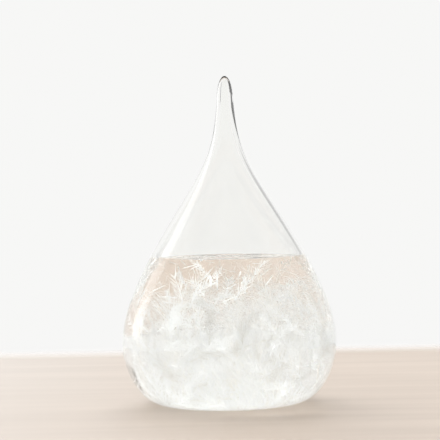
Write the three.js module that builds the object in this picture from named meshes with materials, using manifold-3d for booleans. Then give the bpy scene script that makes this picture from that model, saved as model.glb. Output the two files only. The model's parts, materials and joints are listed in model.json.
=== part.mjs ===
// Drop storm glass: a sealed teardrop of blown glass, nearly half full of a clear solution
// in which white feather crystals grow. Millimetres, +Z up, standing on the plane z = 0
// with the axis of the drop on the Z axis.
//
// The glass is a hollow shell whose neck is closed by a separate fused tip. The solution is one
// solid that fills the shell up to its level, and every crystal stands in a pocket of it.

import * as THREE from "three";
import { mergeVertices } from "three/addons/utils/BufferGeometryUtils.js";
import Module from "manifold-3d";

const wasm = await Module();
wasm.setup();

// ---------------------------------------------------------------- driving dimensions

const HEIGHT = 176;
const BELLY_RADIUS = 57.5; // the widest ring of the drop
const BELLY_HEIGHT = 32.8;
const SHOULDER_RADIUS = 26; // where the outline turns from bulging to hollow
const SHOULDER_HEIGHT = 105.2;
const SHOULDER_LEAN = 0.63; // radius lost for each millimetre of height there
const SHOULDER_RUN = 25; // how far the outline keeps that lean below the shoulder,
const FLARE_RUN = 24; // and above it
const NECK_RADIUS = 4.4;
const NECK_HEIGHT = 163.2; // where the neck begins to round off into the tip
const NECK_RUN = 28; // how far down from there the neck stays slender,
const NECK_FLARE = 2.1; // and how much it widens over that run

const FOOT_RADIUS = 34; // outer edge of the flat ring that the drop stands on
const FOOT_WIDTH = 8;
const FOOT_SWEEP = 16; // how far the base runs on flat before it turns up
const BELLY_SWEEP = 12; // how far the belly runs on upright below its widest ring,
const SHOULDER_SWEEP = 22; // and above it
const PUNT_HEIGHT = 1.2; // how far the middle of the base is hollowed

const WALL = 2;
const FLOOR_WALL = 3.6; // blown glass gathers in the base
const NECK_WALL = 2.5; // the neck is drawn out and thickens as it closes
const SEAL_HEIGHT = 172; // the rim of the neck, which the fused tip closes
const SEAL_THICKNESS = 2; // of the tip, over the middle of the bore
const TIP_TAPER = 0.2; // radius lost before the tip rounds off,
const TIP_RUN = 8.3; // and the height that takes

const LIQUID_LEVEL = 77.7;
const MENISCUS_RISE = 1.2;
const MENISCUS_WIDTH = 3;

const BED_RIM = 13; // height of the crystal bed at the wall
const BED_CROWN = 11; // and in the middle
const BED_LUMP = 1.1;

const GAP = 0.3; // between two neighbouring pieces
const SEGMENTS = 48; // of each turned piece

// ---------------------------------------------------------------- materials

const finish = (color, roughness, opacity) =>
  new THREE.MeshStandardMaterial({
    color,
    roughness,
    metalness: 0,
    opacity,
    transparent: opacity < 1,
  });
const glassFinish = finish(0xf1f6f3, 0.04, 0.3);
const liquidFinish = finish(0xefe9e1, 0.05, 0.4);
const crystalFinish = finish(0xf7f5f0, 0.45, 1);

// ---------------------------------------------------------------- solids

/** A closed three.js geometry as a solid that can be cut and joined. */
function solidOf(geometry) {
  const bare = geometry.clone();
  bare.deleteAttribute("normal");
  bare.deleteAttribute("uv");
  const merged = mergeVertices(bare, 1e-4);
  return new wasm.Manifold(
    new wasm.Mesh({
      numProp: 3,
      vertProperties: new Float32Array(merged.attributes.position.array),
      triVerts: new Uint32Array(merged.index.array),
    }),
  );
}

/** The surface of a solid as a three.js geometry. */
function geometryOf(solid) {
  const surface = solid.getMesh();
  const geometry = new THREE.BufferGeometry();
  geometry.setAttribute(
    "position",
    new THREE.BufferAttribute(surface.vertProperties, 3),
  );
  geometry.setIndex(new THREE.BufferAttribute(surface.triVerts, 1));
  geometry.computeVertexNormals();
  return geometry;
}

const at = (radius, height) => new THREE.Vector2(radius, height);

/** Turns a profile of (radius, height) points about the Z axis. */
function turned(profile) {
  return new THREE.LatheGeometry(profile, SEGMENTS).rotateX(Math.PI / 2);
}

// ---------------------------------------------------------------- the drop's outline

const BASE_CURVE = new THREE.CubicBezierCurve(
  at(FOOT_RADIUS, 0),
  at(FOOT_RADIUS + FOOT_SWEEP, 0),
  at(BELLY_RADIUS, BELLY_HEIGHT - BELLY_SWEEP),
  at(BELLY_RADIUS, BELLY_HEIGHT),
);
const SHOULDER_CURVE = new THREE.CubicBezierCurve(
  at(BELLY_RADIUS, BELLY_HEIGHT),
  at(BELLY_RADIUS, BELLY_HEIGHT + SHOULDER_SWEEP),
  at(SHOULDER_RADIUS + SHOULDER_RUN * SHOULDER_LEAN, SHOULDER_HEIGHT - SHOULDER_RUN),
  at(SHOULDER_RADIUS, SHOULDER_HEIGHT),
);
const NECK_CURVE = new THREE.CubicBezierCurve(
  at(SHOULDER_RADIUS, SHOULDER_HEIGHT),
  at(SHOULDER_RADIUS - FLARE_RUN * SHOULDER_LEAN, SHOULDER_HEIGHT + FLARE_RUN),
  at(NECK_RADIUS + NECK_FLARE, NECK_HEIGHT - NECK_RUN),
  at(NECK_RADIUS, NECK_HEIGHT),
);
const TIP_CURVE = new THREE.CubicBezierCurve(
  at(NECK_RADIUS, NECK_HEIGHT),
  at(NECK_RADIUS - TIP_TAPER, NECK_HEIGHT + TIP_RUN),
  at(NECK_RADIUS / 2, HEIGHT),
  at(0, HEIGHT),
);

/** The glass's thickness: heavy at the floor, thin in the neck. */
function wallAt(height) {
  const low = Math.max(0, 1 - height / BELLY_HEIGHT);
  const high = THREE.MathUtils.smoothstep(height, SHOULDER_HEIGHT, NECK_HEIGHT);
  return WALL + (FLOOR_WALL - WALL) * low * low - (WALL - NECK_WALL) * high;
}

/** Points of a curve of the outline, moved inwards by depth(height). */
function inset(curve, steps, depth) {
  const points = [];
  for (let i = 0; i <= steps; i++) {
    const point = curve.getPoint(i / steps);
    const along = curve.getTangent(i / steps);
    const move = depth(point.y);
    points.push(at(point.x - along.y * move, point.y + along.x * move));
  }
  return points;
}

const CURVE_STEPS = 9;
const noDepth = () => 0;
const outline = [
  ...inset(BASE_CURVE, CURVE_STEPS, noDepth),
  ...inset(SHOULDER_CURVE, CURVE_STEPS, noDepth).slice(1),
  ...inset(NECK_CURVE, CURVE_STEPS, noDepth).slice(1),
];

/** The inside of the glass moved a further clearance inwards, from the floor up to the neck. */
function cavityWall(clearance) {
  const depth = (height) => wallAt(height) + clearance;
  return [
    ...inset(BASE_CURVE, CURVE_STEPS, depth),
    ...inset(SHOULDER_CURVE, CURVE_STEPS, depth).slice(1),
    ...inset(NECK_CURVE, CURVE_STEPS, depth).slice(1),
  ];
}

/** The part of a wall between two heights, cut to length at both. */
function between(wall, bottom, top) {
  const cut = (height) => {
    const i = wall.findIndex((p) => p.y > height);
    const share = (height - wall[i - 1].y) / (wall[i].y - wall[i - 1].y);
    return wall[i - 1].clone().lerp(wall[i], share);
  };
  const inside = wall.filter((p) => p.y > bottom + 0.5 && p.y < top - 0.5);
  return [cut(bottom), ...inside, cut(top)];
}

// ---------------------------------------------------------------- glass

/** The curve of the tip below or above a height, with a point exactly on it. */
function tipPart(height, above) {
  const points = inset(TIP_CURVE, CURVE_STEPS, noDepth);
  const first = points.findIndex((p) => p.y > height);
  const share = (height - points[first - 1].y) / (points[first].y - points[first - 1].y);
  const edge = points[first - 1].clone().lerp(points[first], share);
  return above ? [edge, ...points.slice(first)] : [...points.slice(0, first), edge];
}

const BORE_RADIUS = 1.8; // at the rim of the neck

function glassDrop() {
  const punt = [0, 0.35, 0.7].map((share) =>
    at((FOOT_RADIUS - FOOT_WIDTH) * share, PUNT_HEIGHT * (1 - share * share)),
  );
  const inside = cavityWall(0).reverse();
  const floor = at(0, inside[inside.length - 1].y + PUNT_HEIGHT / 2);
  return turned([
    ...punt,
    at(FOOT_RADIUS - FOOT_WIDTH, 0),
    ...outline,
    ...tipPart(SEAL_HEIGHT, false).slice(1),
    at(BORE_RADIUS, SEAL_HEIGHT),
    ...inside,
    floor,
  ]);
}

function tipSeal() {
  const rim = SEAL_HEIGHT + GAP;
  const dome = HEIGHT - SEAL_THICKNESS;
  const hollow = [0, 0.45, 0.8, 1].map((share) =>
    at(BORE_RADIUS * share, rim + (dome - rim) * Math.sqrt(1 - share * share)),
  );
  return turned([...hollow, ...tipPart(rim, true)]);
}

// ---------------------------------------------------------------- crystal bed and solution

const BED_HEEL = 5.5; // height up to which the bed fills the curve between floor and wall
const bedWall = between(cavityWall(GAP), BED_HEEL, BED_RIM);
const BED_RADIUS = bedWall[bedWall.length - 1].x;
const BED_RINGS = 8;

/** Height of the smooth dish that the bed's top follows, at a share of its radius. */
const dish = (share) => BED_CROWN + (BED_RIM - BED_CROWN) * share * share;

/** How far the bed's top stands above or below its dish. It meets the axis and the wall evenly. */
function lump(radius, angle) {
  const share = Math.min(radius / BED_RADIUS, 1);
  const fade = (1 - share ** 4) * Math.min(1, 3 * share);
  const wave = Math.cos(5 * angle + radius / 9) + Math.cos(3 * angle - radius / 5);
  return (BED_LUMP * fade * wave) / 2;
}

/** The dish from the axis out towards the wall. */
function bedTop(raise) {
  const points = [];
  for (let i = 0; i < BED_RINGS; i++) {
    const share = i / BED_RINGS;
    points.push(at(BED_RADIUS * share, dish(share) + raise));
  }
  return points;
}

/** Lifts the points of a turned piece that lie on the raised dish by the bed's lumps. */
function withLumps(geometry, raise) {
  const position = geometry.attributes.position;
  for (let i = 0; i < position.count; i++) {
    const [x, y, z] = [position.getX(i), position.getY(i), position.getZ(i)];
    const radius = Math.hypot(x, y);
    const share = radius / BED_RADIUS;
    const onDish = share < 0.99 && Math.abs(z - dish(share) - raise) < 0.01;
    if (onDish) position.setZ(i, z + lump(radius, Math.atan2(y, x)));
  }
  return geometry;
}

function crystalBed() {
  const floor = at(0, cavityWall(GAP)[0].y + PUNT_HEIGHT / 2);
  const profile = [floor, cavityWall(GAP)[0], ...bedWall, ...bedTop(0).reverse()];
  return withLumps(turned(profile), 0);
}

/** The solution before the crystals take their places in it. */
function fullSolution() {
  const wall = between(cavityWall(GAP), BED_RIM + GAP, LIQUID_LEVEL + MENISCUS_RISE);
  const rim = wall[wall.length - 1];
  const meniscus = [0.45, 1].map((share) =>
    at(rim.x - MENISCUS_WIDTH * share, LIQUID_LEVEL + MENISCUS_RISE * (1 - share) ** 2),
  );
  return withLumps(
    turned([...bedTop(GAP), ...wall, ...meniscus, at(0, LIQUID_LEVEL)]),
    GAP,
  );
}

// ---------------------------------------------------------------- crystal shapes
// A crystal grows from the origin along +Y, and a feather lies in the XY plane.

/** Half the width of a feather at a share of its length: narrow at the root and at the tip. */
const featherReach = (width, share) =>
  (width / 2) * Math.sin(Math.PI * (0.12 + 0.86 * share)) ** 0.8;

/** A flat feather: a spine with pointed barbs that sweep towards its tip. */
function feather({ length, width, thickness, barbs }) {
  const spine = 0.07 * width;
  const pitch = (0.82 * length) / barbs; // the last stretch is bare
  const side = [];
  for (let i = 0; i < barbs; i++) {
    const root = 0.04 * length + i * pitch;
    const reach = featherReach(width, root / length);
    side.push([spine, root], [reach, root + 0.75 * reach], [spine, root + 0.5 * pitch]);
  }
  const mirrored = side.map(([x, y]) => [-x, y]).reverse();
  const outlinePoints = [[spine, 0], ...side, [0, length], ...mirrored, [-spine, 0]];
  const shape = new THREE.Shape(outlinePoints.map(([x, y]) => at(x, y)));
  return new THREE.ExtrudeGeometry(shape, {
    depth: thickness,
    bevelEnabled: false,
  }).translate(0, 0, -thickness / 2);
}

/** The leaf-shaped room that a feather takes up in the solution. */
function featherRoom({ length, width, thickness }) {
  const side = [0, 0.25, 0.5, 0.75].map((share) => [
    featherReach(width, share) + 2 * GAP,
    length * (share + 0.12) - (share === 0 ? 0.12 * length + GAP : 0),
  ]);
  const mirrored = side.map(([x, y]) => [-x, y]).reverse();
  const tip = [0, length + 2.5 * GAP];
  const shape = new THREE.Shape([...side, tip, ...mirrored].map(([x, y]) => at(x, y)));
  const depth = thickness + 2 * GAP;
  return new THREE.ExtrudeGeometry(shape, { depth, bevelEnabled: false }).translate(
    0,
    0,
    -depth / 2,
  );
}

/** A six-sided needle, pointed at both ends. */
function needle({ length, width }) {
  const radius = width / 2;
  return new THREE.LatheGeometry(
    [at(0, 0), at(radius, 1.5 * width), at(radius, length - 1.5 * width), at(0, length)],
    6,
  );
}

/** The room that a needle takes up in the solution. */
function needleRoom({ length, width }) {
  return needle({ length: length + 4 * GAP, width: width + 2 * GAP }).translate(
    0,
    -2 * GAP,
    0,
  );
}

// ---------------------------------------------------------------- where the crystals grow

/** A place on the circle of a radius and a height, at an angle in degrees from +X. */
function around(degrees, radius, height) {
  const angle = THREE.MathUtils.degToRad(degrees);
  return new THREE.Vector3(radius * Math.cos(angle), radius * Math.sin(angle), height);
}

/** Stands a crystal at root, growing towards tip, with its face turned as far towards look as it goes. */
function placement(root, tip, look) {
  const along = tip.clone().sub(root).normalize();
  const across = new THREE.Vector3().crossVectors(along, look).normalize();
  const face = new THREE.Vector3().crossVectors(across, along);
  return new THREE.Matrix4().makeBasis(across, along, face).setPosition(root);
}

const crystals = [];

/** Adds a feather between two places. Its face looks outwards, turned by spin degrees. */
function addFeather(name, root, tip, spin, size) {
  const middle = root.clone().add(tip);
  const look = around(THREE.MathUtils.radToDeg(Math.atan2(middle.y, middle.x)) + spin, 1, 0);
  const full = { length: root.distanceTo(tip), thickness: 0.9, barbs: 6, ...size };
  crystals.push({
    name,
    matrix: placement(root, tip, look),
    shape: feather(full),
    room: featherRoom(full),
  });
}

/** Adds a needle between two places. */
function addNeedle(name, root, tip, width) {
  const full = { length: root.distanceTo(tip), width };
  crystals.push({
    name,
    matrix: placement(root, tip, new THREE.Vector3(1, 0, 0)),
    shape: needle(full),
    room: needleRoom(full),
  });
}

// Tall fronds stand in the bed, in two rings. Each leans outwards and turns a little as it rises.
const FROND_ROOT_HEIGHT = BED_CROWN - 2;
const FROND_RINGS = [
  { count: 3, first: 35, turn: 8, root: 11, tip: 15, height: 50, step: 2, width: 13, spin: 20 },
  { count: 7, first: -90, turn: 6, root: 33, tip: 39, height: 43, step: 4, width: 15, spin: 6 },
];
let frond = 0;
for (const ring of FROND_RINGS)
  for (let i = 0; i < ring.count; i++) {
    const degrees = ring.first + (360 / ring.count) * i;
    const root = around(degrees, ring.root, FROND_ROOT_HEIGHT);
    const tip = around(degrees + ring.turn, ring.tip, ring.height + ring.step * (i % 3));
    frond += 1;
    addFeather(`tall_frond_${frond}`, root, tip, ring.spin, { width: ring.width });
  }

// Wall fronds start on the glass, above the belly, and lean in from it, by turns to either side.
const WALL_FRONDS = 6;
const WALL_FROND = { first: -122, turn: 13, root: 52.5, tip: 37.5, low: 50, high: 71, width: 11 };
for (let i = 0; i < WALL_FRONDS; i++) {
  const degrees = WALL_FROND.first + (360 / WALL_FRONDS) * i;
  const turn = i % 2 ? -WALL_FROND.turn : WALL_FROND.turn;
  const root = around(degrees, WALL_FROND.root, WALL_FROND.low);
  const tip = around(degrees + turn, WALL_FROND.tip, WALL_FROND.high + (i % 3));
  addFeather(`wall_frond_${i + 1}`, root, tip, 0, { width: WALL_FROND.width, barbs: 5 });
}

// Needles hang from the surface at a slant, by turns from a wide ring and a narrow one.
const NEEDLES = 8;
const NEEDLE_RINGS = [
  { top: 29, end: 24 },
  { top: 16, end: 20 },
];
const NEEDLE = { first: -100, turn: 12, low: 60, width: 1.5 };
for (let i = 0; i < NEEDLES; i++) {
  const degrees = NEEDLE.first + (360 / NEEDLES) * i;
  const ring = NEEDLE_RINGS[i % 2];
  const top = around(degrees, ring.top, LIQUID_LEVEL + GAP);
  const end = around(degrees + NEEDLE.turn, ring.end, NEEDLE.low + (i % 3));
  addNeedle(`needle_${i + 1}`, end, top, NEEDLE.width + 0.2 * (i % 3));
}

// Three loose feathers hang at the surface and can sink towards the fronds below.
const LOOSE_LOW = 65.5;
const LOOSE_WIDTH = 5;
const LOOSE_PLACES = [
  { degrees: -112, radius: 33, slant: 9 },
  { degrees: -62, radius: 31, slant: -8 },
  { degrees: 98, radius: 33, slant: 7 },
];
LOOSE_PLACES.forEach(({ degrees, radius, slant }, i) => {
  const root = around(degrees + slant, radius, LOOSE_LOW);
  const tip = around(degrees - slant, radius + 2, LIQUID_LEVEL);
  const size = { width: LOOSE_WIDTH, barbs: 4, thickness: 0.8 };
  addFeather(`loose_feather_${i + 1}`, root, tip, 0, size);
});

// ---------------------------------------------------------------- assembly

const stormGlass = new THREE.Group();

function addPiece(name, geometry, material) {
  const mesh = new THREE.Mesh(geometry, material.clone());
  mesh.name = name;
  stormGlass.add(mesh);
  return mesh;
}

addPiece("glass_drop", glassDrop(), glassFinish);
addPiece("tip_seal", tipSeal(), glassFinish);
addPiece("crystal_bed", crystalBed(), crystalFinish);

const full = solidOf(fullSolution());
let solution = full;
for (const { name, matrix, shape, room } of crystals) {
  solution = solution.subtract(solidOf(room.applyMatrix4(matrix)));
  const grown = solidOf(shape.applyMatrix4(matrix)).intersect(full);
  const piece = addPiece(
    name,
    geometryOf(grown).applyMatrix4(matrix.clone().invert()),
    crystalFinish,
  );
  piece.applyMatrix4(matrix);
}
addPiece("storm_solution", geometryOf(solution), liquidFinish);

export default stormGlass;
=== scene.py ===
"""Looks of the drop storm glass: a sealed teardrop of blown glass, its solution and its crystals.

Everything is in metres in the frame of the CAD part: +Z up, standing on z = 0, axis of the drop on Z.
"""

import json
import math

import bpy
import numpy as np
from mathutils import Euler, Matrix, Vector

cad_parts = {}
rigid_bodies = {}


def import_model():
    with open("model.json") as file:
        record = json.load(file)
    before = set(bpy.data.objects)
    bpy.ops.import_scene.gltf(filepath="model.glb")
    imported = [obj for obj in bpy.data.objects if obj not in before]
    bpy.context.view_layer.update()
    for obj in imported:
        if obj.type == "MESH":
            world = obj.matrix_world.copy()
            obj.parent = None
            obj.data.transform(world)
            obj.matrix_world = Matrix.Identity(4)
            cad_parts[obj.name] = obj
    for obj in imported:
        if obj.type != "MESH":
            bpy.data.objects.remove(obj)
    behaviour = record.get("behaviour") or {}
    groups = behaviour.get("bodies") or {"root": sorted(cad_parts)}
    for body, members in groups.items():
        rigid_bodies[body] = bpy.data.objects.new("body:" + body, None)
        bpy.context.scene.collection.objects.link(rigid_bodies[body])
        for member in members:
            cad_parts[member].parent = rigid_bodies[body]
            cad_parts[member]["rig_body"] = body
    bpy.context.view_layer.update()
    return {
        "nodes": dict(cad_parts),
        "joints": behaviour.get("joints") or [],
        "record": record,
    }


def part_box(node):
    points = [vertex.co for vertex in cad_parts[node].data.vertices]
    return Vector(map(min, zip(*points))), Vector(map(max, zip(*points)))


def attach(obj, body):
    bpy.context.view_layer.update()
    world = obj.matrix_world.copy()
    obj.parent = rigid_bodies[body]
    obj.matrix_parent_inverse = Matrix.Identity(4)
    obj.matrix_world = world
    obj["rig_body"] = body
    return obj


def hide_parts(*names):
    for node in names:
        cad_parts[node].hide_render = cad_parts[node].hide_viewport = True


MM = 0.001

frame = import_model()

# ---------------------------------------------------------------- the drop's outline, in millimetres
# The same curves as the CAD part, each point a (radius, height).

HEIGHT = 176.0
BELLY_RADIUS = 57.5
BELLY_HEIGHT = 32.8
SHOULDER_RADIUS = 26.0
SHOULDER_HEIGHT = 105.2
SHOULDER_LEAN = 0.63
NECK_RADIUS = 4.4
NECK_HEIGHT = 163.2
FOOT_RADIUS = 34.0
FOOT_WIDTH = 8.0
PUNT_HEIGHT = 1.2
WALL = 2.0
FLOOR_WALL = 3.6
NECK_WALL = 2.5
DOME_HEIGHT = 174.0
LIQUID_LEVEL = 77.7
MENISCUS_RISE = 1.2
MENISCUS_WIDTH = 3.0

BELLY = (BELLY_RADIUS, BELLY_HEIGHT)
SHOULDER_RING = (SHOULDER_RADIUS, SHOULDER_HEIGHT)
NECK_RING = (NECK_RADIUS, NECK_HEIGHT)
BASE = [(FOOT_RADIUS, 0), (50, 0), (BELLY_RADIUS, 20.8), BELLY]
SHOULDER = [BELLY, (BELLY_RADIUS, 54.8), (SHOULDER_RADIUS + 25 * SHOULDER_LEAN, 80.2), SHOULDER_RING]
NECK = [SHOULDER_RING, (SHOULDER_RADIUS - 24 * SHOULDER_LEAN, 129.2), (6.5, 135.2), NECK_RING]
TIP = [NECK_RING, (4.2, 171.5), (2.2, HEIGHT), (0, HEIGHT)]
SEGMENTS = 192


def bezier(points, t):
    """A point of a cubic curve and its direction there."""
    p = [np.array(q, float) for q in points]
    s = 1 - t
    here = s**3 * p[0] + 3 * s * s * t * p[1] + 3 * s * t * t * p[2] + t**3 * p[3]
    way = 3 * (s * s * (p[1] - p[0]) + 2 * s * t * (p[2] - p[1]) + t * t * (p[3] - p[2]))
    return here, way / np.linalg.norm(way)


def wall_at(height):
    """The glass's thickness: heavy at the floor, thin in the neck."""
    low = max(0.0, 1 - height / BELLY_HEIGHT)
    rise = min(1.0, max(0.0, (height - SHOULDER_HEIGHT) / (NECK_HEIGHT - SHOULDER_HEIGHT)))
    high = rise * rise * (3 - 2 * rise)
    return WALL + (FLOOR_WALL - WALL) * low * low - (WALL - NECK_WALL) * high


def inset(curve, steps, depth):
    """Points of a curve of the outline, moved inwards by depth(height)."""
    points = []
    for i in range(steps + 1):
        here, way = bezier(curve, i / steps)
        move = depth(here[1])
        points.append((here[0] - way[1] * move, here[1] + way[0] * move))
    return points


def joined(*runs):
    """Runs of points end to end, without the shared end points."""
    whole = list(runs[0])
    for run in runs[1:]:
        whole += run[1:]
    return whole


def outer_profile():
    """The outside of the glass from the punt's middle up to the tip."""
    none = lambda height: 0.0
    punt = [
        ((FOOT_RADIUS - FOOT_WIDTH) * s, PUNT_HEIGHT * (1 - s * s) ** 2)
        for s in np.linspace(0, 1, 12)
    ]
    body = joined(inset(BASE, 36, none), inset(SHOULDER, 36, none), inset(NECK, 40, none))
    return joined(punt + body, inset(TIP, 20, none))


def inner_profile(clearance=0.0):
    """The inside of the glass from the floor's middle up to the inner dome."""
    depth = lambda height: wall_at(height) + clearance
    walls = joined(inset(BASE, 36, depth), inset(SHOULDER, 36, depth), inset(NECK, 40, depth))
    floor = [
        (walls[0][0] * s, walls[0][1] + 0.5 * PUNT_HEIGHT * (1 - s * s) ** 2)
        for s in np.linspace(0, 1, 12)
    ]
    r, h = walls[-1]
    dome = [(r, h), (r - 0.1, h + 7.5), (0.6 * r, DOME_HEIGHT), (0, DOME_HEIGHT)]
    return joined(floor, walls, inset(dome, 16, lambda height: 0.0))


def cut_at(profile, height):
    """Where the upward run of a profile crosses a height: the index after it, and its radius."""
    for i in range(1, len(profile)):
        if profile[i - 1][1] <= height < profile[i][1] and profile[i][0] > 5:
            share = (height - profile[i - 1][1]) / (profile[i][1] - profile[i - 1][1])
            return i, profile[i - 1][0] + share * (profile[i][0] - profile[i - 1][0])
    raise ValueError(f"no crossing at {height}")


# ---------------------------------------------------------------- meshes


def turned(profile, slots, outwards):
    """Vertices, faces and face slots of a profile turned about Z. It starts and ends on the axis."""
    verts, faces, marks = [], [], []
    rings = []
    for r, h in profile:
        if r < 1e-6:
            rings.append([len(verts)])
            verts.append((0, 0, h * MM))
            continue
        rings.append(list(range(len(verts), len(verts) + SEGMENTS)))
        for i in range(SEGMENTS):
            a = 2 * math.pi * i / SEGMENTS
            verts.append((r * MM * math.cos(a), r * MM * math.sin(a), h * MM))
    for k in range(len(rings) - 1):
        low, high = rings[k], rings[k + 1]
        for i in range(SEGMENTS):
            j = (i + 1) % SEGMENTS
            if len(low) == 1:
                face = [low[0], high[j], high[i]]
            elif len(high) == 1:
                face = [low[i], low[j], high[0]]
            else:
                face = [low[i], low[j], high[j], high[i]]
            faces.append(face if outwards else face[::-1])
            marks.append(slots(k))
    return verts, faces, marks


def mesh_object(name, verts, faces, materials, marks=None, smooth=True):
    mesh = bpy.data.meshes.new(name)
    mesh.from_pydata(verts, [], faces)
    for material in materials:
        mesh.materials.append(material)
    if marks is not None:
        mesh.polygons.foreach_set("material_index", marks)
    mesh.polygons.foreach_set("use_smooth", [smooth] * len(mesh.polygons))
    mesh.update()
    piece = bpy.data.objects.new(name, mesh)
    bpy.context.scene.collection.objects.link(piece)
    return piece


# ---------------------------------------------------------------- materials


def material(name):
    made = bpy.data.materials.new(name)
    made.use_nodes = True
    nodes = made.node_tree.nodes
    nodes.clear()
    out = nodes.new("ShaderNodeOutputMaterial")
    shader = nodes.new("ShaderNodeBsdfPrincipled")
    made.node_tree.links.new(shader.outputs[0], out.inputs["Surface"])
    return made, made.node_tree, shader, out


def glass_material(name, ior, tint):
    made, _, shader, _ = material(name)
    shader.inputs["Base Color"].default_value = (*tint, 1)
    shader.inputs["Roughness"].default_value = 0.0
    shader.inputs["IOR"].default_value = ior
    shader.inputs["Transmission Weight"].default_value = 1.0
    return made


def step(tree, value, start, end, low=0.0, high=1.0):
    """A node output: low where value is up to start, high from end on, smooth between."""
    node = tree.nodes.new("ShaderNodeMapRange")
    node.interpolation_type = "SMOOTHSTEP"
    given = {"Value": value, "From Min": start, "From Max": end, "To Min": low, "To Max": high}
    for name, setting in given.items():
        if isinstance(setting, (int, float)):
            node.inputs[name].default_value = setting
        else:
            tree.links.new(setting, node.inputs[name])
    return node.outputs["Result"]


GLASS_IOR = 1.5
LIQUID_IOR = 1.36
glass_dry = glass_material("clear_glass", GLASS_IOR, (0.98, 0.98, 0.97))
glass_wet = glass_material("wet_glass", GLASS_IOR / LIQUID_IOR, (1, 1, 1))
solution_top = glass_material("solution_surface", LIQUID_IOR, (1, 1, 1))
solution_side = glass_material("solution_body", 1.0, (0.99, 0.985, 0.975))

# ---------------------------------------------------------------- glass and solution

CONTACT_HEIGHT = LIQUID_LEVEL + MENISCUS_RISE


def build_glass():
    outer = outer_profile()
    inner = inner_profile()
    index, radius = cut_at(inner, CONTACT_HEIGHT)
    inner = inner[:index] + [(radius, CONTACT_HEIGHT)] + inner[index:]
    v, f, m = turned(outer, lambda k: 0, True)
    v2, f2, m2 = turned(inner, lambda k: 1 if k < index else 0, False)
    f2 = [[n + len(v) for n in face] for face in f2]
    glass = mesh_object("drop_glass", v + v2, f + f2, [glass_dry, glass_wet], m + m2)
    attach(glass, "vessel")
    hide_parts("glass_drop", "tip_seal")


def build_solution():
    wall = inner_profile(0.05)
    index, radius = cut_at(inner_profile(), CONTACT_HEIGHT)
    wall = wall[:index] + [(radius + 0.03, CONTACT_HEIGHT)]
    meniscus = []
    for s in np.linspace(0, 1, 14)[1:]:
        r = radius - MENISCUS_WIDTH * s
        meniscus.append((r, LIQUID_LEVEL + MENISCUS_RISE * (1 - s) ** 3))
    flat = [(r, LIQUID_LEVEL) for r in np.linspace(meniscus[-1][0], 0, 8)[1:]]
    profile = wall + meniscus + flat
    rim = len(wall) - 1
    v, f, m = turned(profile, lambda k: 0 if k >= rim else 1, True)
    liquid = mesh_object("solution", v, f, [solution_top, solution_side], m)
    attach(liquid, "vessel")
    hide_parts("storm_solution")


build_glass()
build_solution()

# ---------------------------------------------------------------- crystals
# Crystals are thin pointed blades. A feather is a curved spine of blades with barbs on both
# sides. Those on the glass follow its inside, the others grow freely in the solution.

rng = np.random.default_rng(11)


def inside_curve():
    """The inside of the glass up to the contact line: run length, radius, height, inward normal."""
    index, radius = cut_at(inner_profile(), CONTACT_HEIGHT)
    points = np.array(inner_profile()[:index] + [(radius, CONTACT_HEIGHT)])
    steps = np.diff(points, axis=0)
    run = np.concatenate([[0], np.cumsum(np.hypot(steps[:, 0], steps[:, 1]))])
    way = np.gradient(points, run, axis=0)
    way /= np.linalg.norm(way, axis=1)[:, None]
    return run, points[:, 0], points[:, 1], -way[:, 1], way[:, 0]


RUN, WALL_R, WALL_H, NORMAL_R, NORMAL_H = inside_curve()
RUN_TOP = RUN[-1]
# The first point of the inside that is this far from the axis. The side rises from there.
SIDE_RADIUS = 20
SIDE = int(np.argmax(WALL_R > SIDE_RADIUS))


def run_at(height):
    """How far up the inside of the glass a height lies, measured along it from the axis."""
    return float(np.interp(height, WALL_H[SIDE:], RUN[SIDE:]))


def on_wall(run, angle, depth):
    """Points a depth in from the glass, at a run length and an angle in radians."""
    r = np.interp(run, RUN, WALL_R) + depth * np.interp(run, RUN, NORMAL_R)
    h = np.interp(run, RUN, WALL_H) + depth * np.interp(run, RUN, NORMAL_H)
    return np.stack([r * np.cos(angle), r * np.sin(angle), h], axis=-1)


# How far crystals stay from the glass, and from the surface, in mm.
WALL_GAP = 0.15
SURFACE_GAP = 1.3
# How many points of the inside, past the first of the side, still count as floor.
FLOOR_POINTS = 12


def clear_of_wall(points, top):
    """Which points lie in the solution, clear of the glass and floor, and top below the surface."""
    r = np.hypot(points[..., 0], points[..., 1])
    h = points[..., 2]
    side = np.interp(h, WALL_H[SIDE:], WALL_R[SIDE:])
    floor = np.interp(r, WALL_R[: SIDE + FLOOR_POINTS], WALL_H[: SIDE + FLOOR_POINTS])
    return (r < side - WALL_GAP) & (h > floor + WALL_GAP) & (h < LIQUID_LEVEL - top)


# Where along a blade its rings of four points lie, and their share of its width.
LONG_BLADE = ((0.18, 0.5), (0.62, 0.42))
SHORT_BLADE = ((0.4, 0.5),)


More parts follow.
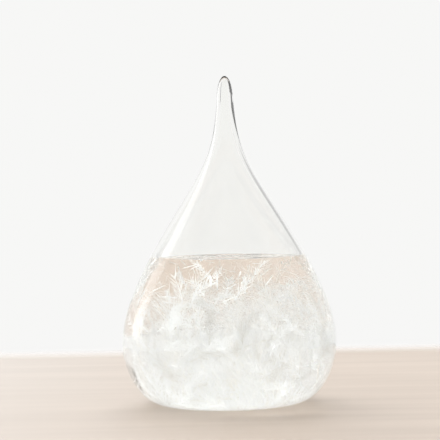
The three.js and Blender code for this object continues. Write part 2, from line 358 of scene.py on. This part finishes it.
class Blades:
    """Many pointed blades, gathered as arrays and made into one mesh."""

    def __init__(self):
        self.root, self.end, self.side, self.width, self.thick = [], [], [], [], []

    def add(self, root, end, side, width, thick):
        root, end = np.atleast_2d(root), np.atleast_2d(end)
        n = len(root)
        self.root.append(root)
        self.end.append(end)
        self.side.append(np.broadcast_to(side, (n, 3)))
        self.width.append(np.broadcast_to(width, (n,)))
        self.thick.append(np.broadcast_to(thick, (n,)))

    def arrays(self):
        return [
            np.concatenate(part)
            for part in (self.root, self.end, self.side, self.width, self.thick)
        ]

    def build(self, name, material, keep_out=(), rings=LONG_BLADE, thinned=False, top=WALL_GAP):
        """One mesh of every blade that lies in the solution and outside the boxes of keep_out."""
        root, end, side, width, thick = self.arrays()
        good = clear_of_wall(root, top) & clear_of_wall(end, top)
        if thinned:
            good &= rng.uniform(0, 1, len(root)) < crowding((root + end) / 2)
        for low, high in keep_out:
            for share in (0, 0.25, 0.5, 0.75, 1):
                p = root + (end - root) * share
                good &= ~np.all((p > low) & (p < high), axis=1)
        root, end, side, width, thick = (x[good] for x in (root, end, side, width, thick))
        n = len(root)
        along = end - root
        length = np.linalg.norm(along, axis=1)
        along = along / length[:, None]
        side = side - along * np.sum(side * along, axis=1)[:, None]
        small = np.linalg.norm(side, axis=1) < 1e-3
        side[small] = np.cross(along[small], (0.3, 0.5, 0.8))
        side /= np.linalg.norm(side, axis=1)[:, None]
        face = np.cross(along, side)
        last = 1 + 4 * len(rings)
        verts = np.empty((n, last + 1, 3))
        verts[:, 0] = root
        for k, (share, size) in enumerate(rings):
            centre = root + along * (length * share)[:, None]
            verts[:, 1 + 4 * k] = centre + side * (width * size)[:, None]
            verts[:, 2 + 4 * k] = centre + face * (thick * size)[:, None]
            verts[:, 3 + 4 * k] = centre - side * (width * size)[:, None]
            verts[:, 4 + 4 * k] = centre - face * (thick * size)[:, None]
        verts[:, last] = end
        pattern = []
        for i in range(4):
            j = (i + 1) % 4
            pattern.append((0, 1 + j, 1 + i))
            for k in range(1, last - 4, 4):
                pattern.append((k + i, k + j, k + 4 + j))
                pattern.append((k + i, k + 4 + j, k + 4 + i))
            pattern.append((last - 4 + i, last - 4 + j, last))
        offsets = (last + 1) * np.arange(n)[:, None, None]
        faces = (np.array(pattern)[None] + offsets).reshape(-1, 3)
        verts = verts.reshape(-1, 3) * MM
        mesh = bpy.data.meshes.new(name)
        mesh.vertices.add(len(verts))
        mesh.vertices.foreach_set("co", verts.ravel())
        mesh.loops.add(3 * len(faces))
        mesh.loops.foreach_set("vertex_index", faces.ravel())
        mesh.polygons.add(len(faces))
        mesh.polygons.foreach_set("loop_start", np.arange(0, 3 * len(faces), 3))
        mesh.update(calc_edges=True)
        mesh.validate()
        mesh.materials.append(material)
        piece = bpy.data.objects.new(name, mesh)
        bpy.context.scene.collection.objects.link(piece)
        return piece


# Clearer stretches along the glass: outside a radius, within so many degrees of a direction
# counted from +X, between two heights, and the share of crystals kept there.
CLEARER = [
    (38, 154, 49, 4, LIQUID_LEVEL, 0.02),
    (22, 0, 65, 3, 26, 0.15),
]
# Waves of clumps and pockets: so many radians per mm along X, Y and Z, and a start.
WAVES = [(rng.normal(0, 0.34, 3), rng.uniform(0, 6.3)) for _ in range(9)]


def crowding(points):
    """From 0 to 1, how crowded the solution is at points in mm: clumps and clearer pockets."""
    clump = sum(np.sin(points @ way + start) for way, start in WAVES) / 3
    share = 0.62 + 0.38 * np.tanh(1.6 * clump)
    radius = np.hypot(points[:, 0], points[:, 1])
    angle = np.degrees(np.arctan2(points[:, 1], points[:, 0]))
    height = points[:, 2]
    for inner, middle, spread, low, high, kept in CLEARER:
        beside = abs((angle - middle + 180) % 360 - 180) < spread
        share[(radius > inner) & beside & (height > low) & (height < high)] *= kept
    return share


def flow(points):
    """The way crystals lean at points in mm. It turns smoothly, so that neighbours lie alike."""
    parts = [
        sum(np.sin(0.6 * points @ way + start + turn) for way, start in WAVES)
        for turn in (0.0, 2.1, 4.2)
    ]
    return np.stack(parts, axis=-1) / 2


def flat_feather(length, width, pitch, curl, barb_width, lean=0.62, root_bare=0.06):
    """A feather in its own plane: rows of (x0, y0, x1, y1, width), growing along +y."""
    rows = []
    steps = max(4, int(length / 2.5))
    spine = []
    for i in range(steps + 1):
        y = i / steps
        spine.append((curl * length * (y * y) * 0.5, y * length))
    spine = np.array(spine)
    for i in range(steps):
        size = barb_width * (1.9 - 1.2 * i / steps)
        stretch = (spine[i + 1] - spine[i]) * 0.12
        rows.append((*(spine[i] - stretch), *(spine[i + 1] + stretch), size))
    count = int(length * (1 - root_bare) / pitch)
    for i in range(count):
        y = root_bare + (1 - root_bare) * (i + rng.uniform(-0.3, 0.3)) / count
        y = min(max(y, 0.02), 0.97)
        base = (curl * length * y * y * 0.5, y * length)
        reach = 0.5 * width * math.sin(math.pi * (0.16 + 0.80 * y)) ** 0.8
        for sign in (-1, 1):
            angle = lean + rng.uniform(-0.12, 0.12) - 0.25 * y
            long = reach / math.sin(angle) * rng.uniform(0.7, 1.1)
            dx, dy = sign * math.sin(angle), math.cos(angle)
            turn = curl * y
            dx, dy = dx + turn * dy, dy - turn * dx
            tip = (base[0] + dx * long, base[1] + dy * long)
            rows.append((*base, *tip, barb_width * rng.uniform(0.7, 1.1)))
    return np.array(rows)


def wall_feather(blades, run, angle, depth, heading, rows, tilt=0.0):
    """Lays a flat feather on the inside of the glass. heading turns it from straight up."""
    c, s = math.cos(heading), math.sin(heading)
    ends = []
    for k in (0, 2):
        x, y = rows[:, k], rows[:, k + 1]
        u, v = c * x + s * y, c * y - s * x
        here = run + v
        radius = np.maximum(np.interp(here, RUN, WALL_R), 4)
        ends.append(on_wall(here, angle + u / radius, depth + tilt * np.maximum(y, 0)))
    outside = here > RUN_TOP - 0.5
    root, end = ends[0][~outside], ends[1][~outside]
    width = rows[~outside, 4]
    middle = (root + end) / 2
    outwards = middle * (1, 1, 0)
    across = np.cross(end - root, outwards)
    across /= np.linalg.norm(across, axis=1)[:, None] + 1e-9
    blades.add(root, end, across, width, 0.4 * width)


def free_feather(blades, root, along, across, rows):
    """Grows a flat feather freely from a root, along one direction and flat in the plane of across."""
    along = along / np.linalg.norm(along)
    across = across - along * np.dot(across, along)
    across /= np.linalg.norm(across)
    starts = root + rows[:, 0:1] * across + rows[:, 1:2] * along
    ends = root + rows[:, 2:3] * across + rows[:, 3:4] * along
    face = np.cross(along, across)
    side = np.cross(ends - starts, face)
    side /= np.linalg.norm(side, axis=1)[:, None] + 1e-9
    blades.add(starts, ends, side, rows[:, 4], 0.4 * rows[:, 4])


# How much stronger the glow, which is painted light, is at the foot, and the height in metres where
# that has worn off.
FOOT_GLOW = 0.12
GLOW_HEIGHT = 0.05


def crystal_material(name, glow, low=(0.95, 0.955, 0.955), high=(0.99, 1.0, 1.0)):
    """White camphor crystal. A faint glow, painted light, stands for the light that clear crystals
    pass on.

    It is stronger low down, as the photograph shows the brightest crystals there.
    """
    made, tree, shader, out = material(name)
    nodes, links = tree.nodes, tree.links
    place = nodes.new("ShaderNodeTexCoord")
    noise = nodes.new("ShaderNodeTexNoise")
    noise.inputs["Scale"].default_value = 320.0
    noise.inputs["Detail"].default_value = 2.0
    ramp = nodes.new("ShaderNodeValToRGB")
    ramp.color_ramp.elements[0].position = 0.3
    ramp.color_ramp.elements[0].color = (*low, 1)
    ramp.color_ramp.elements[1].position = 0.7
    ramp.color_ramp.elements[1].color = (*high, 1)
    links.new(place.outputs["Object"], noise.inputs["Vector"])
    links.new(noise.outputs["Fac"], ramp.inputs["Fac"])
    links.new(ramp.outputs["Color"], shader.inputs["Base Color"])
    shader.inputs["Roughness"].default_value = 0.28
    # Painted light: an emission glow, stronger at the foot.
    shader.inputs["Emission Color"].default_value = (0.94, 0.98, 1, 1)
    apart = nodes.new("ShaderNodeSeparateXYZ")
    links.new(place.outputs["Object"], apart.inputs["Vector"])
    strength = step(tree, apart.outputs["Z"], 0.0, GLOW_HEIGHT, glow + FOOT_GLOW, glow)
    links.new(strength, shader.inputs["Emission Strength"])
    through = nodes.new("ShaderNodeBsdfTranslucent")
    links.new(ramp.outputs["Color"], through.inputs["Color"])
    mix = nodes.new("ShaderNodeMixShader")
    mix.inputs["Fac"].default_value = 0.5
    links.new(shader.outputs[0], mix.inputs[1])
    links.new(through.outputs[0], mix.inputs[2])
    links.new(mix.outputs[0], out.inputs["Surface"])
    return made


crystal = crystal_material("camphor_crystal", 0.17)
large_crystal = crystal_material(
    "large_camphor_crystal", 0.14, (0.95, 0.935, 0.91), (0.99, 0.975, 0.95)
)
# Painted light: the same crystal with twice the glow, for crystals that look brighter.
painted_lit_crystal = crystal_material("painted_lit_camphor_crystal", 0.34)
# Painted shade: the same crystal, darker and with less glow, for feathers that look shaded.
shaded_crystal = crystal_material(
    "shaded_camphor_crystal", 0.1, (0.85, 0.84, 0.82), (0.93, 0.92, 0.90)
)


def node_frame(name):
    """Root, direction, sideways and face direction, length and width of a CAD crystal, in mm."""
    points = np.array([v.co for v in frame["nodes"][name].data.vertices], float) / MM
    centre = (points.max(0) + points.min(0)) / 2
    _, _, axes = np.linalg.svd(points - points.mean(0), full_matrices=False)
    along = axes[0] * (1 if axes[0][2] > 0 else -1)
    across = axes[1]
    reach = (points - centre) @ along
    spread = (points - centre) @ across
    middle = centre + across * (spread.max() + spread.min()) / 2
    root = middle + along * reach.min()
    return root, along, across, reach.max() - reach.min(), spread.max() - spread.min()


def corridors():
    """The boxes that the loose feathers sweep, with room round them, in mm."""
    boxes = []
    for joint in frame["joints"]:
        for name in frame["record"]["behaviour"]["bodies"][joint["child"]]:
            low, high = (np.array(corner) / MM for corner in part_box(name))
            down, up = (value / MM for value in joint["range_m"])
            boxes.append((low + (-1.5, -1.5, down - 1.0), high + (1.5, 1.5, up + 1.0)))
    return boxes


KEEP_OUT = corridors()


def stand_for_cad_crystals():
    """A finer crystal in the place of each frond, needle and loose feather of the CAD part."""
    for name in sorted(frame["nodes"]):
        kind = name.rsplit("_", 1)[0]
        if kind not in ("tall_frond", "wall_frond", "needle", "loose_feather"):
            continue
        root, along, across, length, width = node_frame(name)
        blades = Blades()
        if kind == "needle":
            blades.add(root, root + along * length, across, 0.75 * width, 0.5 * width)
            for _ in range(5):
                start = root + along * length * rng.uniform(0.3, 0.85)
                way = along + rng.normal(0, 0.35, 3)
                way /= np.linalg.norm(way)
                blades.add(start, start + way * length * 0.25, across, 0.35, 0.2)
        elif kind == "loose_feather":
            rows = flat_feather(length, width, 1.5, 0.0, 0.42)
            free_feather(blades, root, along, across, rows)
        else:
            rows = flat_feather(length, width, 1.15, 0.0, 0.3)
            free_feather(blades, root, along, across, rows)
        look = painted_lit_crystal if kind == "loose_feather" else large_crystal
        piece = blades.build(name + "_crystal", look)
        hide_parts(name)
        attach(piece, frame["nodes"][name]["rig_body"])


def thicket(name, blades, rings=LONG_BLADE, look=crystal):
    """Crystals with no CAD node of their own. Short blades are thinned into clumps."""
    piece = blades.build(name, look, KEEP_OUT, rings, rings == SHORT_BLADE, SURFACE_GAP)
    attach(piece, "vessel")


STREWN_RADIUS = 56
# A place sideways that is left of everything, for needles on either side.
ANY_SIDE = -99


def scattered(blades, count, heights, side, lengths, width, power=1.0, loose=1.0):
    """Single fine needles, strewn through the solution between two heights.

    A power above 1 crowds them low down. The less loose they are, the more they follow the flow.
    side is the least place sideways that a root may have, in mm.
    """
    height = heights[0] + (heights[1] - heights[0]) * rng.uniform(0, 1, count) ** power
    radius = STREWN_RADIUS * np.sqrt(rng.uniform(0, 1, count))
    angle = rng.uniform(0, 2 * math.pi, count)
    root = np.stack([radius * np.cos(angle), radius * np.sin(angle), height], axis=1)
    way = rng.normal(0, 1, (count, 3)) * loose + flow(root) * (1 - loose)
    way /= np.linalg.norm(way, axis=1)[:, None]
    length = rng.uniform(*lengths, count)
    kept = root[:, 0] > side
    root, way, length = root[kept], way[kept], length[kept]
    across = rng.normal(0, 1, (len(root), 3))
    blades.add(root, root + way * length[:, None], across, width, 0.4 * width)


def feathers_on_glass(
    blades, count, heights, lengths, depths, barb, turn, sector=(0, 2 * math.pi), pitch=0.9
):
    """Feathers that lie along the inside of the glass, in a sector given in radians."""
    for _ in range(count):
        run = rng.uniform(run_at(heights[0]), run_at(heights[1]))
        angle = rng.uniform(*sector)
        length = rng.uniform(*lengths)
        rows = flat_feather(
            length, length * rng.uniform(0.35, 0.6), pitch, rng.uniform(-0.5, 0.5), barb
        )
        wall_feather(blades, run, angle, rng.uniform(*depths), rng.normal(0, turn), rows)


def flakes_on_glass(blades, count, heights, lengths, depths, width, sector=(0, 2 * math.pi)):
    """Small single blades lying along the inside of the glass."""
    run = rng.uniform(run_at(heights[0]), run_at(heights[1]), count)
    angle = rng.uniform(*sector, count)
    depth = rng.uniform(*depths, count)
    length = rng.uniform(*lengths, count)
    radius = np.interp(run, RUN, WALL_R)
    root = on_wall(run, angle, depth)
    lean = flow(root)
    heading = np.arctan2(lean[:, 0], lean[:, 1]) + rng.normal(0, 0.4, count)
    end = on_wall(
        run + length * np.cos(heading),
        angle + length * np.sin(heading) / radius,
        depth + rng.uniform(-0.3, 1.2, count),
    )
    across = np.cross(end - root, (root + end) * (0.5, 0.5, 0))
    across /= np.linalg.norm(across, axis=1)[:, None] + 1e-9
    blades.add(root, end, across, width, 0.4 * width)


def crystal_felt():
    """The bed: a loose pile of needles, with small feathers standing against the glass."""
    blades = Blades()
    scattered(blades, 8200, (2.2, 9.5), ANY_SIDE, (2.0, 4.5), 0.3, 1.4)
    flakes_on_glass(blades, 1800, (2.6, 11), (1.2, 3.0), (0.2, 1.6), 0.26)
    # Painted light: the bed takes the crystal with the stronger glow.
    piece = blades.build("crystal_felt", painted_lit_crystal, (), SHORT_BLADE)
    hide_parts("crystal_bed")
    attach(piece, "vessel")


# Large needles that lie just inside the front of the glass, in millimetres: sideways and height
# of either end, width, and depth in from the glass. They have no CAD node, and their places, and
# those of the feathers below, follow the photograph and not the frame.
FRONT_NEEDLES = [
    (-23.5, 73.4, -12.6, 76.2, 0.8, 1.5),
    (-19.5, 72.6, -14.2, 75.8, 0.6, 1.2),
    (-16.6, 74.2, -12.0, 75.6, 0.5, 0.8),
    (-9.0, 70.4, -8.7, 63.2, 1.5, 2.0),
    (-5.6, 72.2, -5.5, 61.5, 1.0, 2.5),
    (-17.8, 59.0, -12.6, 68.0, 0.9, 3.0),
    (-12.8, 67.6, -7.0, 74.4, 0.8, 3.0),
    (10.2, 76.9, 6.4, 71.8, 0.9, 1.2),
    (6.5, 72.2, 4.9, 68.3, 0.7, 1.3),
    (8.8, 67.9, 5.6, 65.3, 0.6, 1.5),
    (11.7, 75.8, 16.7, 75.4, 0.6, 1.0),
    (-4.3, 56.3, 6.1, 60.3, 0.8, 1.5),
    (-7.2, 55.2, -4.6, 59.4, 0.6, 1.5),
    (-33.8, 56.6, -27.3, 56.5, 0.6, 1.0),
    (-34.4, 59.2, -24.0, 58.8, 0.6, 1.5),
    (-38.6, 54.8, -33.6, 53.8, 0.5, 1.0),
    (-39.6, 60.9, -30.2, 65.7, 0.9, 1.2),
    (-28.2, 53.0, -23.6, 56.3, 0.6, 1.0),
    (-26.8, 52.6, -22.6, 56.0, 0.6, 1.0),
    (-24.0, 53.6, -20.4, 57.2, 0.5, 1.3),
    (-2.0, 62.8, 5.4, 66.0, 0.5, 2.0),
    (18.0, 64.0, 22.5, 69.0, 0.5, 1.5),
    (24.0, 58.0, 31.0, 60.5, 0.5, 1.2),
    (30.5, 70.5, 36.5, 68.0, 0.4, 0.8),
]


# Large feathers there: sideways and height of the root, heading in degrees, length, width, depth.
FRONT_FEATHERS = [
    (-23.0, 57.5, -24, 17, 10, 1.5),
    (-18.5, 57.5, 32, 21, 8, 1.0),
    (-12.0, 60.5, -38, 13, 7, 2.5),
    (3.0, 58.0, 30, 14, 7, 1.2),
    (-31.0, 4.5, 12, 20, 12, 0.3),
    (-37.0, 7.5, -30, 15, 9, 0.4),
    (-25.0, 5.0, 40, 14, 8, 0.5),
    (-36.0, 42.0, 55, 17, 9, 0.5),
    (-33.0, 33.0, 70, 16, 8, 0.4),
    (-8.0, 3.8, -25, 13, 8, 0.4),
    (20.0, 30.0, 25, 15, 9, 0.4),
    (34.0, 22.0, -20, 15, 8, 0.4),
]


def on_front(sideways, height, depth):
    """A point a depth in from the front of the glass, at a place sideways and a height in mm."""
    radius = np.interp(height, WALL_H[SIDE:], WALL_R[SIDE:]) - depth
    return np.array([sideways, -math.sqrt(max(radius**2 - sideways**2, 0.0)), height])


def dense_growth():
    """The crowded lower half: feathers on the glass and inside, and loose needles between."""
    blades = Blades()
    feathers_on_glass(blades, 60, (8, 48), (6, 13), (0.4, 4.5), 0.26, 1.0, (-2.75, 1.7))
    thicket("feathers_on_glass_low", blades)
    blades = Blades()
    feathers_on_glass(blades, 50, (4, 46), (9, 18), (0.2, 0.6), 0.3, 1.0, (-2.7, -0.4), 1.6)
    for sideways, height, heading, length, width, depth in FRONT_FEATHERS:
        x, y, _ = on_front(sideways, height, depth)
        rows = flat_feather(length, width, 1.9, math.copysign(0.25, heading), 0.42)
        wall_feather(blades, run_at(height), math.atan2(y, x), depth, math.radians(heading), rows)
    # Painted light: the feathers on the front take the crystal with the stronger glow.
    thicket("feathers_on_front_glass", blades, look=painted_lit_crystal)
    blades = Blades()
    # Painted shade: these feathers take the darker crystal with less glow.
    feathers_on_glass(blades, 44, (5, 46), (8, 18), (0.3, 0.8), 0.26, 1.0, (-2.7, -0.4), 1.7)
    thicket("shaded_feathers_low", blades, look=shaded_crystal)
    blades = Blades()
    for _ in range(40):
        radius, angle = 48 * math.sqrt(rng.uniform(0, 1)), rng.uniform(0, 2 * math.pi)
        root = np.array([radius * math.cos(angle), radius * math.sin(angle), rng.uniform(6, 40)])
        along = np.array([rng.normal(0, 0.6), rng.normal(0, 0.6), rng.uniform(0.4, 1.2)])
        length = rng.uniform(8, 16)
        rows = flat_feather(length, length * 0.5, 1.0, rng.uniform(-0.4, 0.4), 0.3)
        free_feather(blades, root, along, rng.normal(0, 1, 3), rows)
    thicket("feathers_inside_low", blades)
    for part in ("1", "2"):
        blades = Blades()
        flakes_on_glass(blades, 14000, (6, 50), (1.4, 4.2), (0.8, 5.0), 0.11)
        flakes_on_glass(blades, 5000, (22, 42), (1.4, 4.2), (0.8, 12.0), 0.11, (-0.4, 1.35))
        thicket("flakes_on_glass_low_" + part, blades, SHORT_BLADE)
        blades = Blades()
        scattered(blades, 22000, (7, 30), ANY_SIDE, (1.5, 4.5), 0.11, 1.0, 0.35)
        thicket("fine_needles_low_" + part, blades, SHORT_BLADE)
        blades = Blades()
        scattered(blades, 26000, (26, 54), ANY_SIDE, (1.5, 4.5), 0.1, 0.85, 0.35)
        thicket("fine_needles_middle_" + part, blades, SHORT_BLADE)


def open_growth():
    """The clearer upper band: larger feathers and needles, mostly near the glass."""
    blades = Blades()
    feathers_on_glass(blades, 14, (50, 66), (7, 13), (1.0, 6.0), 0.36, 0.8)
    flakes_on_glass(blades, 260, (52, 76), (1.5, 4.0), (0.2, 3.0), 0.28)
    thicket("feathers_on_glass_high", blades)
    blades = Blades()
    for x1, z1, x2, z2, width, depth in FRONT_NEEDLES:
        root, end = on_front(x1, z1, depth), on_front(x2, z2, depth)
        blades.add(root, end, np.cross(end - root, root + end), width, 0.5 * width)
    thicket("large_needles", blades, look=painted_lit_crystal)
    blades = Blades()
    scattered(blades, 200, (52, 76), ANY_SIDE, (1.5, 6), 0.3)
    scattered(blades, 4000, (48, 72), 0, (1.8, 5.0), 0.1, 2.4, 0.3)
    thicket("fine_needles_high", blades, SHORT_BLADE)
    blades = Blades()
    feathers_on_glass(blades, 16, (50, 68), (9, 16), (0.4, 3.0), 0.26, 1.4, (-1.3, 0.4), 1.5)
    thicket("feathers_on_right_glass", blades, look=large_crystal)


stand_for_cad_crystals()
crystal_felt()
dense_growth()
open_growth()

# ---------------------------------------------------------------- table, light and camera


TABLE_REACH = 0.35
# How far in from its edge the table fades out: to the camera, and to all other rays.
CAMERA_FADE = 0.08
OTHER_FADE = 0.17


def build_table():
    """A plain table with a faint grain, a little paler towards the left: painted light, for the
    brighter light on that side.
    """
    made, tree, shader, out = material("pale_table")
    nodes, links = tree.nodes, tree.links
    place = nodes.new("ShaderNodeTexCoord")
    stretch = nodes.new("ShaderNodeMapping")
    stretch.inputs["Scale"].default_value = (1.5, 14, 1)
    grain = nodes.new("ShaderNodeTexNoise")
    grain.inputs["Scale"].default_value = 3.0
    grain.inputs["Detail"].default_value = 2.0
    ramp = nodes.new("ShaderNodeValToRGB")
    ramp.color_ramp.elements[0].position = 0.35
    ramp.color_ramp.elements[0].color = (0.43, 0.35, 0.285, 1)
    ramp.color_ramp.elements[1].position = 0.65
    ramp.color_ramp.elements[1].color = (0.48, 0.395, 0.325, 1)
    apart = nodes.new("ShaderNodeSeparateXYZ")
    # Painted light: towards the left the table is mixed with a paler colour, up to half, for the
    # brighter light on that side.
    painted_light_mix = nodes.new("ShaderNodeMix")
    painted_light_mix.data_type = "RGBA"
    painted_light_share, grain_color_input, painted_light_color = (painted_light_mix.inputs[i] for i in (0, 6, 7))
    painted_light_color.default_value = (0.58, 0.55, 0.52, 1)
    links.new(place.outputs["Object"], stretch.inputs["Vector"])
    links.new(stretch.outputs["Vector"], grain.inputs["Vector"])
    links.new(grain.outputs["Fac"], ramp.inputs["Fac"])
    links.new(place.outputs["Object"], apart.inputs["Vector"])
    links.new(step(tree, apart.outputs["X"], -0.22, 0.04, 0.5, 0.0), painted_light_share)
    links.new(ramp.outputs["Color"], grain_color_input)
    links.new(painted_light_mix.outputs[2], shader.inputs["Base Color"])
    shader.inputs["Roughness"].default_value = 0.45
    shader.inputs["Specular IOR Level"].default_value = 0.5
    farthest = nodes.new("ShaderNodeMath")
    farthest.operation = "MAXIMUM"
    for i, axis in enumerate("XY"):
        size = nodes.new("ShaderNodeMath")
        size.operation = "ABSOLUTE"
        links.new(apart.outputs[axis], size.inputs[0])
        links.new(size.outputs[0], farthest.inputs[i])
    camera_ray = nodes.new("ShaderNodeLightPath").outputs["Is Camera Ray"]
    start = step(tree, camera_ray, 0.0, 1.0, TABLE_REACH - OTHER_FADE, TABLE_REACH - CAMERA_FADE)
    mix = nodes.new("ShaderNodeMixShader")
    links.new(step(tree, farthest.outputs[0], start, TABLE_REACH), mix.inputs["Fac"])
    links.new(shader.outputs[0], mix.inputs[1])
    links.new(nodes.new("ShaderNodeBsdfTransparent").outputs[0], mix.inputs[2])
    links.new(mix.outputs[0], out.inputs["Surface"])
    reach = TABLE_REACH
    corners = [(-reach, -reach, 0), (reach, -reach, 0), (reach, reach, 0), (-reach, reach, 0)]
    table = mesh_object("table", corners, [(0, 1, 2, 3)], [made], smooth=False)


build_table()


# A white studio: a backdrop, then patches laid over it, in order. Each is degrees round from
# the back, positive to the right, degrees above the horizon, softness, and its colour.
BACKDROP = (0.93, 0.93, 0.92)
# Softboxes: they light the table and the crystals.
SOFTBOXES = [
    ((120, 300), (-90, 90), 25, (1.0, 0.99, 0.98)),
    ((-300, -120), (-90, 90), 25, (1.0, 0.99, 0.98)),
    ((-130, -35), (-20, 40), 14, (1.8, 1.8, 1.78)),
    ((-300, 300), (50, 100), 18, (1.1, 1.1, 1.1)),
    ((-50, 20), (22, 60), 8, (4.4, 4.4, 4.4)),
]
# What the glass mirrors: narrow strips of the windows.
MIRRORED = [
    ((-110, -35), (-20, 40), 10, (1.2, 1.2, 1.2)),
    ((-66, -52), (4, 52), 5, (2.8, 2.8, 2.8)),
]
# What is seen through the hollow and the solution.
SURROUNDINGS = [
    ((-75, 60), (48, 75), 8, (2.4, 2.4, 2.4)),
    ((50, 105), (12, 60), 4, (0.60, 0.57, 0.54)),
    ((46, 50), (12, 60), 2, (0.32, 0.31, 0.30)),
]
# Flags: only the edges of solid glass show them.
FLAGS = [
    ((-80, -30), (-34, -4), 2, (0.10, 0.10, 0.10)),
    ((-52, -36), (-5, 5), 2, (0.10, 0.10, 0.10)),
    ((14, 30), (12, 30), 3, (0.45, 0.45, 0.45)),
]


def build_world():
    """Light from all round. Each kind of ray gets its own set of the patches above."""
    world = bpy.data.worlds.new("studio")
    world.use_nodes = True
    tree = world.node_tree
    nodes, links = tree.nodes, tree.links
    nodes.clear()
    out = nodes.new("ShaderNodeOutputWorld")
    light = nodes.new("ShaderNodeBackground")
    place = nodes.new("ShaderNodeTexCoord")
    apart = nodes.new("ShaderNodeSeparateXYZ")
    links.new(place.outputs["Generated"], apart.inputs["Vector"])

    def math_node(operation, *inputs):
        node = nodes.new("ShaderNodeMath")
        node.operation = operation
        for i, value in enumerate(inputs):
            if isinstance(value, (int, float)):
                node.inputs[i].default_value = value
            else:
                links.new(value, node.inputs[i])
        return node.outputs[0]

    def mixed(factor, first, second):
        node = nodes.new("ShaderNodeMix")
        node.data_type = "RGBA"
        links.new(factor, node.inputs["Factor"])
        for socket, value in zip(node.inputs[6:8], (first, second)):
            if isinstance(value, tuple):
                socket.default_value = (*value, 1)
            else:
                links.new(value, socket)
        return node.outputs[2]

    def between(value, low, high, soft):
        """1 where a value lies between low and high, falling to 0 over soft on either side."""
        rise = step(tree, value, low - soft, low)
        fall = step(tree, value, high, high + soft, 1.0, 0.0)
        return math_node("MULTIPLY", rise, fall)

    x, y, z = (apart.outputs[axis] for axis in "XYZ")
    round_about = math_node("DEGREES", math_node("ARCTAN2", x, y))
    above = math_node("DEGREES", math_node("ARCSINE", z))

    def painted(color, patches, where=None):
        """A colour with patches laid over it, only as far as where, if that is given."""
        for (left, right), (bottom, top), soft, shade in patches:
            sideways = between(round_about, left, right, soft)
            mask = math_node("MULTIPLY", sideways, between(above, bottom, top, soft))
            if where is not None:
                mask = math_node("MULTIPLY", mask, where)
            color = mixed(mask, color, shade)
        return color

    # Rays are told apart by their path. Those that crossed two surfaces went through solid glass
    # only, and those that crossed more went through the hollow or the solution.
    path = nodes.new("ShaderNodeLightPath").outputs
    edge = math_node("COMPARE", path["Transmission Depth"], 2.0, 0.5)
    direct = math_node("LESS_THAN", path["Diffuse Depth"], 0.5)
    through = math_node("MULTIPLY", path["Is Transmission Ray"], direct)
    mirrored = math_node("MULTIPLY", path["Is Glossy Ray"], direct)
    color = mixed(mirrored, painted(BACKDROP, SOFTBOXES), painted(BACKDROP, MIRRORED))
    deep = math_node("GREATER_THAN", path["Transmission Depth"], 2.5)
    shown = painted(painted(BACKDROP, SURROUNDINGS, deep), FLAGS, edge)
    color = mixed(through, color, shown)
    links.new(mixed(path["Is Camera Ray"], color, BACKDROP), light.inputs["Color"])
    links.new(light.outputs[0], out.inputs["Surface"])
    bpy.context.scene.world = world


build_world()


CAMERA_PLACE = (0, -0.861, 0.1053)
# In degrees: how far the camera looks down and to the left, and its roll.
CAMERA_DOWN = 0.45
CAMERA_LEFT = 0.255
CAMERA_ROLL = -1.1
CAMERA_LENS = 130.9


def build_camera():
    data = bpy.data.cameras.new("camera")
    data.lens = CAMERA_LENS
    data.sensor_width = 36
    camera = bpy.data.objects.new("camera", data)
    turn = Euler((math.radians(90 - CAMERA_DOWN), 0, math.radians(CAMERA_LEFT)))
    roll = Matrix.Rotation(math.radians(CAMERA_ROLL), 4, "Z")
    camera.matrix_world = Matrix.Translation(CAMERA_PLACE) @ turn.to_matrix().to_4x4() @ roll
    bpy.context.scene.collection.objects.link(camera)
    bpy.context.scene.camera = camera


build_camera()

scene = bpy.context.scene
scene.view_settings.view_transform = "Standard"
scene.cycles.max_bounces = 64
scene.cycles.transmission_bounces = 48
scene.cycles.transparent_max_bounces = 16
scene.cycles.glossy_bounces = 16
scene.cycles.blur_glossy = 0.0
scene.cycles.diffuse_bounces = 24
